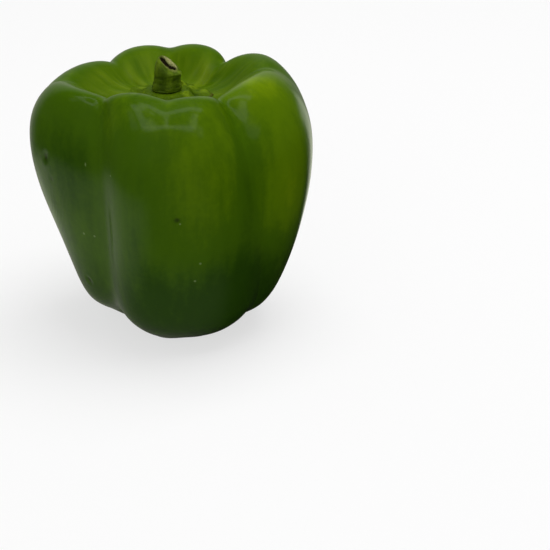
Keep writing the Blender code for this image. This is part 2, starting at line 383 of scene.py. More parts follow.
class PEPPER_PG_skin(bpy.types.PropertyGroup):
    """Sizes and colours of the fruit's skin."""

    columns: count("Columns", "Faces round the fruit", 400, 64)
    rows: count("Rows", "Faces from the foot to the hollow", 260, 40)
    deep: colour("Deep green", "Colour of the least ripe skin", (0.017, 0.052, 0.0006))
    green: colour("Green", "Colour of most of the skin", (0.044, 0.104, 0.0006))
    olive: colour("Olive", "Colour of the riper skin", (0.084, 0.162, 0.0004))
    bright: colour("Yellow green", "Colour of the ripest skin", (0.165, 0.262, 0.0008))
    wall: colour("Hollow", "Colour of the walls of the hollow", (0.074, 0.138, 0.0012))
    # Painted shade in the hollow.
    wall_shade: colour("Painted hollow shade", "Colour of the shade painted into the hollow", (0.044, 0.098, 0.0005))
    # Paler on the ridges: partly pale veins, partly painted highlight.
    vein: colour("Vein", "Colour of the ridges down the hollow", (0.150, 0.222, 0.0080))
    scab: colour("Scab", "Colour of the pale scabs and scratches", (0.180, 0.260, 0.0900))
    bruise: colour("Bruise", "Colour at the bottom of a dent", (0.024, 0.046, 0.0030))
    roughness: share("Roughness", "Roughness of the waxy skin", 0.36)
    specular: share("Specular", "Gloss of the flesh under the wax", 0.02)
    wax: share("Wax", "Weight of the thin gloss over the skin", 0.45)
    wax_roughness: share("Wax roughness", "Roughness of the thin gloss", 0.13)
    swell: length("Swell", "Depth of the soft unevenness of the lobes", 0.45)
    pores: length("Pores", "Depth of the fine grain of the skin", 0.020)


class PEPPER_PG_calyx(bpy.types.PropertyGroup):
    """Sizes and colours of the calyx."""

    columns: count("Columns", "Faces round the calyx", 300, 48)
    rows: count("Rows", "Faces from the middle of its underside to its top", 110, 20)
    leaf: colour("Leaf", "Colour of the calyx between its ribs", (0.056, 0.108, 0.0008))
    # Painted highlight on the ribs and lumps.
    rib: colour("Rib", "Colour of the ribs and lumps, painted paler as highlight", (0.135, 0.212, 0.0040))
    # Painted shade in the valleys.
    valley: colour("Valley", "Painted shade in the deepest places", (0.036, 0.076, 0.0008))
    join: colour("Join", "Colour where the calyx runs into the fruit", (0.074, 0.134, 0.0012))
    # Dried edge, partly a painted shadow line on the right.
    edge: colour("Dry edge", "Colour of the dried edge, with a painted shadow line on the right", (0.055, 0.045, 0.0060))
    rib_height: length("Rib height", "How far a rib stands up", 0.55)
    roughness: share("Roughness", "Roughness of the calyx", 0.52)
    specular: share("Specular", "Gloss of the calyx", 0.06)


class PEPPER_PG_stalk(bpy.types.PropertyGroup):
    """Sizes and colours of the stalk."""

    columns: count("Columns", "Faces round the stalk", 200, 40)
    rows: count("Rows", "Faces from the middle of its base to the middle of the cut", 170, 40)
    stem: colour("Stem", "Colour of the stem between its ridges", (0.054, 0.098, 0.0010))
    ridge: colour("Ridge", "Colour of the pale ridges", (0.115, 0.180, 0.0040))
    # Painted shade in the wrinkles.
    furrow_shade: colour("Furrow", "Painted shade at the bottom of the wrinkles", (0.024, 0.046, 0.0010))
    rim: colour("Cream", "Colour of the dry side of the cut", (0.400, 0.390, 0.1700))
    pith: colour("Pith", "Colour of the fresh side of the cut", (0.130, 0.155, 0.0300))
    # Partly painted shade in the slit.
    hollow: colour("Hollow", "Colour of the slit in the pith", (0.014, 0.010, 0.0030))
    roughness: share("Roughness", "Roughness of the stem", 0.55)
    specular: share("Specular", "Gloss of the stem", 0.12)
    wrinkle: length("Wrinkle", "Depth of the wrinkles at the base", 0.12)


class PEPPER_PG_stage(bpy.types.PropertyGroup):
    """The floor, the light and the camera."""

    floor: colour("Floor", "Colour of the floor", (0.96, 0.96, 0.96))
    floor_size: length("Floor size", "Side of the square floor", 12000.0)
    distance: length("Camera distance", "From the camera to the foot of the fruit", 600.0)
    elevation: number(
        "Camera elevation", "How far it looks down", math.radians(24.58), subtype="ANGLE", unit="ROTATION"
    )
    shadow: share("Shadow", "Strength of the fruit's shadow on the floor", 0.32)
    bounce: share("Bounce", "How pale the floor is where it lights the fruit from below", 0.75)
    mirrored: share("Mirrored floor", "Brightness of the floor, as the skin mirrors it", 0.60)
    sky: share("Sky", "Strength of the even light from all round", 0.5)
    haze: share("Haze", "Brightness of the studio on the left, as the skin mirrors it", 0.05)
    strip: number("Strip", "Brightness of the strip behind on the right, as the skin mirrors it", 1.3)
    foot: share("Foot", "Brightness of the floor close to the fruit, as the skin mirrors it", 0.25)
    rim: share("Rim", "Brightness behind the fruit, as its crest mirrors it", 0.45)
    ceiling: share("Ceiling", "Brightness of the rest of the studio, as the skin mirrors it", 0.015)
    overhead: number("Overhead", "Power of the soft light above", 9.5, unit="POWER")
    fill: number("Fill", "Power of the soft light in front", 2.0, unit="POWER")
    window: number("Window", "Power of the mirrored frame", 0.36, unit="POWER")


def smooth_step(value, low, high):
    part = np.clip((value - low) / (high - low), 0, 1)
    return part * part * (3 - 2 * part)


def cubic_through(knots, values, at):
    """The natural cubic spline through the rows of values at the knots, read at the given places."""
    gap = np.diff(knots)
    slope = np.diff(values, axis=0) / gap[:, None]
    bend = np.zeros_like(values)
    matrix = np.eye(len(knots))
    for i in range(1, len(knots) - 1):
        matrix[i, i - 1 : i + 2] = gap[i - 1], 2 * (gap[i - 1] + gap[i]), gap[i]
        bend[i] = 6 * (slope[i] - slope[i - 1])
    bend = np.linalg.solve(matrix, bend)
    i = np.clip(np.searchsorted(knots, at) - 1, 0, len(gap) - 1)
    left = ((knots[i + 1] - at) / gap[i])[:, None]
    right = 1 - left
    sag = (gap[i] ** 2)[:, None] / 6
    straight = left * values[i] + right * values[i + 1]
    return straight + sag * ((left**3 - left) * bend[i] + (right**3 - right) * bend[i + 1])


def climb_of(sections):
    """How far along the profile each of its sections is, from 0 at the first to 1 at the last."""
    places = np.array([(section.radius, section.height) for section in sections])
    steps = np.linalg.norm(np.diff(places, axis=0), axis=1)
    return np.concatenate([[0], np.cumsum(steps)]) / steps.sum()


def knots_of(sections):
    """How far along a profile each of its named sections is."""
    return dict(zip(sections, climb_of(sections.values())))


def profile(sections, climb):
    """Reads a profile that starts and ends on the axis, at climb 0 to 1 along it.

    The radius is each section's first value, and it changes sign across the axis.
    """
    knots = climb_of(sections)
    values = np.array(sections, float)
    mirror = np.ones(values.shape[1])
    mirror[0] = -1
    knots = np.concatenate([-knots[3:0:-1], knots, 2 - knots[-2:-5:-1]])
    values = np.vstack([values[3:0:-1] * mirror, values, values[-2:-5:-1] * mirror])
    return cubic_through(knots, values, climb).T


def drift(value, height):
    """The parabola through a Drift's three values, at a height from 0 at the foot to 1 at the crest."""
    foot = value[0] * (1 - height) * (1 - 2 * height)
    belly = value[1] * 4 * height * (1 - height)
    crest = value[2] * height * (2 * height - 1)
    return foot + belly + crest


def rise(away, softness):
    """0 at the bottom of a fold and 1 on the crown of the lobe: a quarter circle with a softened foot."""
    whole = np.sqrt(1 + softness**2) - softness
    start = (np.sqrt(away**2 + softness**2) - softness) / whole
    arc = np.clip(start * (2 - start), 0, 1)
    return (np.sqrt(arc + softness**2) - softness) / whole


def share_of_height(climb, height):
    """0 at and inside the feet, 1 at and inside the crest."""
    knots = knots_of(RINGS)
    part = np.clip(height / RINGS["crest"].height, 0, 1)
    part = np.where(climb < knots["foot"], 0, part)
    return np.where(climb > knots["crest"], 1, part)


def from_crease(column):
    """How far a place counted in folds is from the nearest crease: up to 1, at a groove."""
    past = column % 2
    return np.where(past <= 1, past, 2 - past)


def gather(column):
    """Moves the columns, counted in folds, towards the creases, which are the even ones."""
    near = from_crease(column) ** CREASE_GATHERING
    return np.floor(column / 2) * 2 + np.where(column % 2 <= 1, near, 2 - near)


def azimuth_of(column, height):
    """The azimuth at a place counted in folds, where each fold drifts round with height."""
    folds = np.array([drift(fold.azimuth, height) for fold in FOLDS.values()])
    folds = np.vstack([folds, folds[:1] + FULL_TURN])
    before = np.floor(column).astype(int)[None]
    low = np.take_along_axis(folds, before, axis=0)[0]
    high = np.take_along_axis(folds, before + 1, axis=0)[0]
    return np.radians(low + (high - low) * (column - before[0]))


def fruit_surface(turn, climb):
    """Points of the fruit's skin, and masks that are 1 in the hollow at its top and on the scar under it."""
    column = gather(np.clip(turn, 0, 1 - 1e-9) * len(FOLDS))
    radius, height, crease, groove, crease_drop, groove_drop = profile(list(RINGS.values()), climb)
    part = share_of_height(climb, height)

    away = from_crease(column)
    depth = np.array([drift(fold.depth, part) for fold in FOLDS.values()])
    softness = np.array([drift(fold.softness, part**3) for fold in FOLDS.values()])
    here = np.arange(len(column))
    crease_here = (np.round(column / 2).astype(int) * 2) % len(FOLDS), here
    groove_here = np.floor(column / 2).astype(int) * 2 + 1, here
    in_crease = (1 - rise(away, softness[crease_here])) * depth[crease_here]
    in_groove = (1 - rise(1 - away, softness[groove_here])) * depth[groove_here]

    halves = np.array([(*half.reach, half.foot_lift, half.crest_lift) for half in SHOULDERS.values()])
    round_and_round = np.arange(-len(halves) // 2, len(halves) * 3 // 2)
    halves = halves[round_and_round % len(halves)]
    *reach, foot_lift, crest_lift = cubic_through(round_and_round + 0.5, halves, column).T
    lift = foot_lift * (1 - part) ** 4 + crest_lift * part**4

    azimuth = azimuth_of(column, part)
    radius_here = radius * drift(reach, part) * (1 - crease * in_crease - groove * in_groove)
    height = height - crease_drop * in_crease - groove_drop * in_groove
    height = height + lift * smooth_step(radius, *LIFT_FADE)
    height = np.maximum(height - FOOT_PRESS, 0)
    x = radius_here * np.cos(azimuth)
    y = radius_here * np.sin(azimuth) + CREST_LEAN * part
    crest = knots_of(RINGS)["crest"]
    masks = {
        "hollow": smooth_step(climb, crest - 0.005, crest + 0.05),
        "scar": (1 - smooth_step(radius, *SCAR_EDGE)) * (climb < 0.5),
    }
    return np.column_stack([x, y, height]), masks


CAD_COLUMNS = 96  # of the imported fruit
CAD_ROWS = 52


def middle_of_fruit():
    """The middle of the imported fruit's outline seen from above, which is the frame's origin."""
    turn, climb = np.meshgrid(np.arange(CAD_COLUMNS) / CAD_COLUMNS, np.arange(CAD_ROWS + 1) / CAD_ROWS)
    points, _ = fruit_surface(turn.ravel(), climb.ravel())
    middle = (points.min(axis=0) + points.max(axis=0)) / 2
    return np.array([middle[0], middle[1], 0.0])


CENTRE = middle_of_fruit()


def need(condition, message):
    if not condition:
        raise RuntimeError(message)


def wrap(name, node, look, surface):
    """The piece for a node: a closed net over a surface, from its pole at climb 0 to that at climb 1."""
    need(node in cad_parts, f"the packed model has no {node}")
    columns, rows = look.columns, look.rows
    turn, climb = np.meshgrid(np.arange(columns) / columns, np.arange(1, rows) / rows)
    turn = np.concatenate([[0], turn.ravel(), [0]])
    climb = np.concatenate([[0], climb.ravel(), [1]])
    places, masks = surface(turn, climb)

    left = np.arange(columns) + 1
    right = np.roll(left, -1)
    last = len(places) - 1
    faces = [(0, b, a) for a, b in zip(left.tolist(), right.tolist())]
    for ring in range(0, (rows - 2) * columns, columns):
        corners = (left + ring, right + ring, right + ring + columns, left + ring + columns)
        faces += np.column_stack(corners).tolist()
    ring = (rows - 2) * columns
    faces += [(a + ring, b + ring, last) for a, b in zip(left.tolist(), right.tolist())]

    mesh = bpy.data.meshes.new(name)
    mesh.from_pydata(((places - CENTRE) * MM).tolist(), [], faces)
    for mask, values in masks.items():
        set_mask(mesh, mask, values)
    mesh.shade_smooth()
    piece = bpy.data.objects.new(name, mesh)
    bpy.context.scene.collection.objects.link(piece)
    return piece


def read_each(items, field, width=1):
    """The field of each item, as a row of floats of the given width."""
    values = np.empty(len(items) * width, np.float32)
    items.foreach_get(field, values)
    return values.reshape(-1, width).astype(float)


def points_of(mesh):
    return read_each(mesh.vertices, "co", 3)


def normals_of(mesh):
    return read_each(mesh.vertex_normals, "vector", 3)


def set_mask(mesh, name, values):
    attribute = mesh.attributes.get(name) or mesh.attributes.new(name, "FLOAT", "POINT")
    attribute.data.foreach_set("value", values.astype(np.float32))


def read_mask(mesh, name):
    return read_each(mesh.attributes[name].data, "value")[:, 0]


def move_points(mesh, points):
    mesh.vertices.foreach_set("co", points.astype(np.float32).ravel())
    mesh.update()


def noise_at(points, size, stretch=(1.0, 1.0, 1.0), shift=0.0):
    """Smooth noise from -1 to 1 at points in metres, with features of about the given size in mm."""
    scale = 1 / (np.array(stretch) * size * MM)
    return np.array([noise.noise(Vector(point * scale) + Vector((shift, shift, shift))) for point in points])


def azimuths(points):
    return np.degrees(np.arctan2(points[:, 1], points[:, 0])) % FULL_TURN


def around(azimuth, middle):
    """The signed angle from the middle to an azimuth, by the short way round."""
    return (azimuth - middle + 180) % FULL_TURN - 180


DEGREE_SPAN = 0.7  # mm round the fruit for each degree
MARK_REACH = 6  # mm from the plane of a mark within which the skin takes it
DENT_RIM = (0.18, 1.9, 0.35)  # height as a share of the depth, distance in half widths, and softness


def add_patches(patches, azimuth, place, total):
    """Adds soft patches to a total, for azimuths and heights or radii."""
    for patch in patches.values():
        off = around(azimuth, patch.azimuth) / patch.spread_round
        up = (place - patch.place) / patch.spread
        total = total + patch.strength * np.exp(-(off**2 + up**2) / 2)
    return total


def place_on(points, normals, azimuth, height):
    """The index of the point on the outer side that is nearest an azimuth and a height in mm."""
    outside = (points * normals)[:, :2].sum(axis=1) > 0
    off = around(azimuths(points), azimuth) * DEGREE_SPAN
    up = points[:, 2] / MM - height
    return int(np.argmin(np.where(outside, off**2 + up**2, np.inf)))


def local(points, normals, mark):
    """Places across and along a mark on the skin, in mm, and whether each point is on the skin there."""
    at = place_on(points, normals, mark.azimuth, mark.height)
    out = Vector(normals[at])
    side = Vector((0, 0, 1)).cross(out).normalized()
    up = out.cross(side)
    turn = math.radians(mark.tilt)
    across = np.array(side * math.cos(turn) + up * math.sin(turn))
    along = np.array(up * math.cos(turn) - side * math.sin(turn))
    away = (points - points[at]) / MM
    near = np.abs(away @ np.array(out)) < MARK_REACH
    return away @ across, away @ along, near


def soft_patch(points, normals, mark):
    """1 in the middle of a mark on the skin, fading out over its half widths, and its coordinates."""
    across, along, near = local(points, normals, mark)
    return np.exp(-((across / mark.across) ** 2) - (along / mark.along) ** 2) * near, across, along


def dent_depth(points, normals, dent):
    """How deep each point lies in a dent, from 1 in its middle to a slightly raised rim."""
    across, along, near = local(points, normals, dent)
    distance = np.sqrt((across / dent.across) ** 2 + (along / dent.along) ** 2)
    pit = np.exp(-(distance**2))
    rim = DENT_RIM[0] * np.exp(-((distance - DENT_RIM[1]) ** 2) / DENT_RIM[2])
    return np.where(near, pit - rim, 0)


# The skin is painted deeper green towards the foot and lighter towards the top.
RIPE_BELOW = 0.30
RIPE_GAIN = 0.12  # from the lower height of the next value to the upper one
RIPE_HEIGHTS = (30, 78)


def ripeness(points):
    """How ripe the skin is, from 0, deep green, to 1, yellow green, together with the light and shade that
    the patches paint in.
    """
    height = points[:, 2] / MM
    ripe = RIPE_BELOW + RIPE_GAIN * smooth_step(height, *RIPE_HEIGHTS)
    return add_patches(PATCHES, azimuths(points), height, ripe)


class Nodes:
    """A node tree under construction. A value for a socket is set on it, or linked if it is a socket."""

    def __init__(self, tree):
        self.tree = tree

    def give(self, socket, value):
        if isinstance(value, bpy.types.NodeSocket):
            self.tree.links.new(value, socket)
        elif socket.type == "RGBA":
            socket.default_value = (*value, 1.0)[:4]
        else:
            socket.default_value = value

    def add(self, kind, sockets=None, **settings):
        made = self.tree.nodes.new("ShaderNode" + kind)
        for name, value in settings.items():
            setattr(made, name, value)
        for name, value in (sockets or {}).items():
            self.give(made.inputs[name], value)
        return made

    def math(self, operation, first, *others):
        """Joins values by one operation, such as their product or the largest of them."""
        for other in others:
            first = self.add("Math", {0: first, 1: other}, operation=operation).outputs[0]
        return first

    def vector(self, operation, first, second=(0, 0, 0)):
        made = self.add("VectorMath", {0: first, 1: second}, operation=operation)
        return made.outputs["Value" if operation in ("DOT_PRODUCT", "LENGTH", "DISTANCE") else "Vector"]

    def between(self, value, low, high, to_low=0.0, to_high=1.0):
        """A smooth step between two values, and the two values that it makes of them."""
        sockets = {"Value": value, "From Min": low, "From Max": high, "To Min": to_low, "To Max": to_high}
        return self.add("MapRange", sockets, interpolation_type="SMOOTHSTEP").outputs[0]

    def along(self, place, toward, low, high, to_low, to_high):
        """A smooth step of how far a place or a direction goes toward a side."""
        return self.between(self.vector("DOT_PRODUCT", place, toward), low, high, to_low, to_high)

    def either(self, amount, first, second):
        """Mixes two shaders: the first at 0 and the second at 1."""
        return self.add("MixShader", {0: amount, 1: first, 2: second}).outputs[0]


class Effect(Nodes):
    """A node group that materials share. It reads a place and some numbers, and puts out one value."""

    def __init__(self, name, output, **defaults):
        super().__init__(bpy.data.node_groups.new(name, "ShaderNodeTree"))
        sockets = self.tree.interface
        for given, default in {"vector": (0, 0, 0), **defaults}.items():
            kind = "NodeSocketVector" if isinstance(default, tuple) else "NodeSocketFloat"
            made = sockets.new_socket(name=given.title(), in_out="INPUT", socket_type=kind)
            made.default_value = default
        sockets.new_socket(name=output, in_out="OUTPUT", socket_type="NodeSocketFloat")
        self.given = self.tree.nodes.new("NodeGroupInput").outputs
        self.out = self.tree.nodes.new("NodeGroupOutput").inputs[0]

    def scale(self, size):
        """The scale of a texture whose features have the size given by a socket."""
        return self.math("DIVIDE", 1.0, self.given[size])

    def finish(self, value):
        """Puts out the value, and hands back the group."""
        self.give(self.out, value)
        return self.tree


@functools.cache
def mottling():
    """Soft uneven patches, which can be drawn out along Z."""
    group = Effect("Mottling", "Mask", size=0.01, stretch=1.0, detail=3.0, low=0.3, high=0.7)
    given = group.given
    squeeze = group.add("CombineXYZ", {"X": 1.0, "Y": 1.0, "Z": group.scale("Stretch")}).outputs[0]
    sockets = {
        "Vector": group.vector("MULTIPLY", given["Vector"], squeeze),
        "Scale": group.scale("Size"),
        "Detail": given["Detail"],
        "Roughness": 0.55,
    }
    cloud = group.add("TexNoise", sockets).outputs["Fac"]
    return group.finish(group.between(cloud, given["Low"], given["High"]))


@functools.cache
def freckles():
    """Small round dots, scattered at about the given spacing."""
    group = Effect("Freckles", "Mask", spacing=0.003, radius=0.12, amount=0.5)
    given = group.given
    cells = group.add("TexVoronoi", {"Vector": given["Vector"], "Scale": group.scale("Spacing")}).outputs
    kept = group.math("LESS_THAN", cells["Color"], given["Amount"])
    dot = group.between(cells["Distance"], given["Radius"], 0.0)
    return group.finish(group.math("MULTIPLY", dot, kept))


@functools.cache
def fine_grain():
    """The fine uneven grain of a plant's surface, as a height from 0 to 1."""
    group = Effect("Fine Grain", "Height", size=0.001, pores=0.3)
    place = {"Vector": group.given["Vector"], "Scale": group.scale("Size")}
    cloud = group.add("TexNoise", {**place, "Detail": 4.0, "Roughness": 0.6}).outputs["Fac"]
    cells = group.add("TexVoronoi", place).outputs["Distance"]
    return group.finish(group.add("Mix", {0: group.given["Pores"], 2: cloud, 3: cells}).outputs[0])


@functools.cache
def round_spot():
    """1 within a radius of a place, and 0 away from it."""
    group = Effect("Spot", "Mask", centre=(0, 0, 0), radius=0.001)
    given = group.given
    away = group.vector("DISTANCE", given["Vector"], given["Centre"])
    core = group.math("MULTIPLY", given["Radius"], 0.4)
    return group.finish(group.between(away, given["Radius"], core))


class Shading(Nodes):
    """A material under construction, with the shader's sockets and the place of each point at hand."""

    def __init__(self, name):
        self.material = bpy.data.materials.new(name)
        self.material.use_nodes = True
        super().__init__(self.material.node_tree)
        self.shader = self.tree.nodes["Principled BSDF"].inputs
        self.place = self.add("TexCoord").outputs["Object"]

    def feed(self, socket, value):
        self.give(self.shader[socket], value)

    def effect(self, tree, **given):
        named = {name.title(): value for name, value in given.items()}
        return self.add("Group", {"Vector": self.place, **named}, node_tree=tree).outputs[0]

    def patches(self, size, low=0.3, high=0.7, stretch=1.0, detail=3.0):
        return self.effect(mottling(), size=size * MM, low=low, high=high, stretch=stretch, detail=detail)

    def mask(self, name):
        return self.add("Attribute", attribute_name=name).outputs["Fac"]

    def blend(self, amount, first, second, most=1.0):
        """Mixes two colours, by up to the share given as most."""
        if most < 1:
            amount = self.math("MULTIPLY", amount, most)
        return self.add("Mix", {0: amount, 6: first, 7: second}, data_type="RGBA").outputs[2]

    def ramp(self, value, stops):
        made = self.add("ValToRGB", {"Fac": value})
        made.color_ramp.interpolation = "EASE"
        elements = made.color_ramp.elements
        while len(elements) < len(stops):
            elements.new(0.5)
        for element, (position, shade) in zip(elements, stops):
            element.position = position
            element.color = (*shade, 1.0)
        return made.outputs["Color"]

    def bump(self, *heights):
        """Stacks bumps, each a height and its distance in metres, and feeds them to the shader."""
        normal = {}
        for height, distance in heights:
            made = self.add("Bump", {"Height": height, "Distance": distance, "Strength": 1.0, **normal})
            normal = {"Normal": made.outputs["Normal"]}
        self.feed("Normal", normal["Normal"])


def skin_material(look, points, normals):
    """Waxy green skin: ripe and unripe patches, some of them painted light and shade, faint streaks, fine
    pores, pale scabs with one painted highlight, dents, and painted shade and highlight in the hollow.
    """
    skin = Shading("pepper skin")
    clouds = skin.patches(26, 0.25, 0.75, stretch=1.6)
    streaks = skin.patches(3.2, 0.30, 0.72, stretch=9.0, detail=4.0)
    flecks = skin.patches(1.6, 0.35, 0.70, detail=5.0)
    ripe = skin.mask("ripe")
    for uneven, effect in ((clouds, 0.16), (streaks, 0.09), (flecks, 0.04)):
        ripe = skin.math("ADD", ripe, skin.math("MULTIPLY", skin.math("SUBTRACT", uneven, 0.5), effect))
    tint = skin.ramp(ripe, ((0.0, look.deep), (0.35, look.green), (0.62, look.olive), (1.0, look.bright)))
    # Painted shade in the hollow, and paler veins that are partly painted highlight on the ridges.
    wall = skin.blend(skin.mask("painted_hollow_shade"), look.wall, look.wall_shade)
    wall = skin.blend(skin.mask("vein"), wall, look.vein, 0.8)
    wall = skin.blend(clouds, wall, look.olive, 0.3)
    tint = skin.blend(skin.mask("hollow"), tint, wall, 0.85)
    dots = skin.effect(freckles(), spacing=1.9 * MM, radius=0.16, amount=0.45)
    tint = skin.blend(dots, tint, look.bright, 0.10)
    tint = skin.blend(skin.between(skin.mask("dent"), 0.25, 0.9), tint, look.bruise)
    scabs = skin.between(skin.mask("scratch"), 0.35, 0.8)
    for spot in SPOTS.values():
        centre = points[place_on(points, normals, spot.azimuth, spot.height)]
        made = skin.effect(round_spot(), centre=tuple(centre), radius=spot.radius * MM)
        scabs = skin.math("MAXIMUM", scabs, made)
    tint = skin.blend(scabs, tint, look.scab, 0.65)
    skin.feed("Base Color", skin.blend(skin.mask("scar"), tint, look.bruise))

    rough = skin.between(clouds, 0.0, 1.0, look.roughness - 0.05, look.roughness + 0.06)
    for dry, effect in ((scabs, 0.25), (skin.mask("scar"), 0.35)):
        rough = skin.math("ADD", rough, skin.math("MULTIPLY", dry, effect))
    skin.feed("Roughness", rough)
    skin.feed("Specular IOR Level", look.specular)
    skin.feed("Coat Weight", skin.between(skin.mask("hollow"), 0.0, 0.6, look.wax, 0.25 * look.wax))
    skin.feed("Coat Roughness", look.wax_roughness)
    grain = skin.effect(fine_grain(), size=0.9 * MM, pores=0.35)
    skin.bump((grain, look.pores), (flecks, 0.012 * MM), (scabs, 0.06 * MM))
    return skin.material


def skin_relief(points, normals, look):
    """How far each point is pressed in, in metres, and where the skin is dented or scratched."""
    pressed = np.zeros(len(points))
    for depth, size, stretch, shift in (
        (look.swell, 21, 1.7, 0.0),
        (0.35 * look.swell, 8, 2.2, 7.3),
        (0.06 * MM, 2.6, 6.0, 3.1),
    ):
        pressed = pressed + depth * (0.5 + 0.5 * noise_at(points, size, (1, 1, stretch), shift))
    dented = np.zeros(len(points))
    for dent in DENTS.values():
        depth = dent_depth(points, normals, dent)
        pressed = pressed + dent.depth * MM * depth
        dented = np.maximum(dented, depth)
    filled, _, _ = soft_patch(points, normals, FILLING)
    pressed = pressed + FILLING.depth * MM * filled
    scratched = np.zeros(len(points))
    for scratch in SCRATCHES.values():
        scratched = np.maximum(scratched, dent_depth(points, normals, scratch))
    patch, across, along = soft_patch(points, normals, WRINKLES)
    bent = across + WRINKLE_BEND * np.sin(along / WRINKLE_BEND_SPAN)
    wave = np.sin(2 * np.pi * bent / WRINKLE_SPACING)
    pressed = pressed + WRINKLES.depth * MM * patch * wave
    scratched = np.maximum(scratched, 0.55 * patch * smooth_step(-wave, 0.3, 0.9))
    standing = smooth_step(points[:, 2] / MM, 0.02, 1.5)
    return pressed * standing, dented, scratched


HOLLOW_WALL = (13, 29)  # radii, from the calyx to the crest
UNROLLED = 20  # radius at which the wall's streaks are laid out
STREAK_CHANGE = 0.16  # how much the streaks change down the wall, against round it
STREAK_HEIGHT = 0.09


def hollow_detail(points, hollow):
    """Relief down the walls of the hollow, in metres, a mask of its pale veins, partly painted highlight on
    the ridges, and a mask of the shade painted into the hollow.
    """
    axis = np.array([-CENTRE[0], CREST_LEAN - CENTRE[1]]) * MM
    away = points[:, :2] - axis
    radius = np.hypot(away[:, 0], away[:, 1]) / MM
    azimuth = np.degrees(np.arctan2(away[:, 1], away[:, 0]))
    inward = 1 - smooth_step(radius, *HOLLOW_WALL)
    raised = np.zeros(len(points))
    for ridge in HOLLOW_RIDGES.values():
        middle = ridge.at_crest + (ridge.at_calyx - ridge.at_crest) * inward
        raised = raised + ridge.height * np.exp(-((around(azimuth, middle) / ridge.width) ** 2) / 2)
    raised = raised * (0.35 + 0.65 * inward)
    angle = np.radians(azimuth)
    ring = UNROLLED * np.column_stack([np.cos(angle), np.sin(angle)])
    unrolled = np.column_stack([ring, STREAK_CHANGE * radius]) * MM
    streaks = noise_at(unrolled, 1.5) + 0.5 * noise_at(unrolled, 0.7, shift=4.0)
    # Painted shade: darker green on parts of the hollow's wall.
    painted_hollow_shade = add_patches(HOLLOW_SHADES, azimuth, radius, np.zeros(len(points)))
    relief = (raised + STREAK_HEIGHT * streaks) * hollow * MM
    # Paler on the raised ridges: partly pale veins, partly painted highlight.
    veins = np.clip(2.4 * raised + 0.45 * streaks, 0, 1) * hollow
    return relief, veins, np.clip(painted_hollow_shade, 0, 1)


def keep_in_box(points, node):
    """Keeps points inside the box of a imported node."""
    low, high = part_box(node)
    return np.clip(points, np.array(low), np.array(high))


def finish_piece(piece, node, material):
    piece.data.materials.append(material)
    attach(piece, ROOT)
    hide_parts(node)


class PEPPER_OT_fruit(bpy.types.Operator):
    """Builds the fruit: four lobes with their creases and grooves, dents, scabs and a waxy skin"""

    bl_idname = "pepper.fruit"
    bl_label = "Fruit"

    def execute(self, context):
        look = context.scene.pepper_skin
        piece = wrap("fruit_skin", "fruit", look, fruit_surface)
        mesh = piece.data
        points = points_of(mesh)
        normals = normals_of(mesh)
        pressed, dented, scratched = skin_relief(points, normals, look)
        set_mask(mesh, "dent", dented)
        set_mask(mesh, "scratch", scratched)
        set_mask(mesh, "ripe", ripeness(points))
        raised, veins, painted_hollow_shade = hollow_detail(points, read_mask(mesh, "hollow"))
        set_mask(mesh, "vein", veins)
        set_mask(mesh, "painted_hollow_shade", painted_hollow_shade)
        points = keep_in_box(points + normals * (raised - pressed)[:, None], "fruit")
        move_points(mesh, points)
        finish_piece(piece, "fruit", skin_material(look, points, normals))
        return {"FINISHED"}


def floor_height(radius):
    """Height of the hollow's floor, clear of the creases, at a radius up to the hollow's edge."""
    names = ("floor", "floor edge", "hollow edge", "inner wall")
    radii = [RINGS[name].radius for name in names]
    heights = [RINGS[name].height - FOOT_PRESS for name in names]
    return np.interp(radius, radii, heights)


def seat_height():
    """Height of the flat on the calyx that the stalk stands on."""
    return floor_height(0.0) + SKIN_GAP + CALYX_CROWN


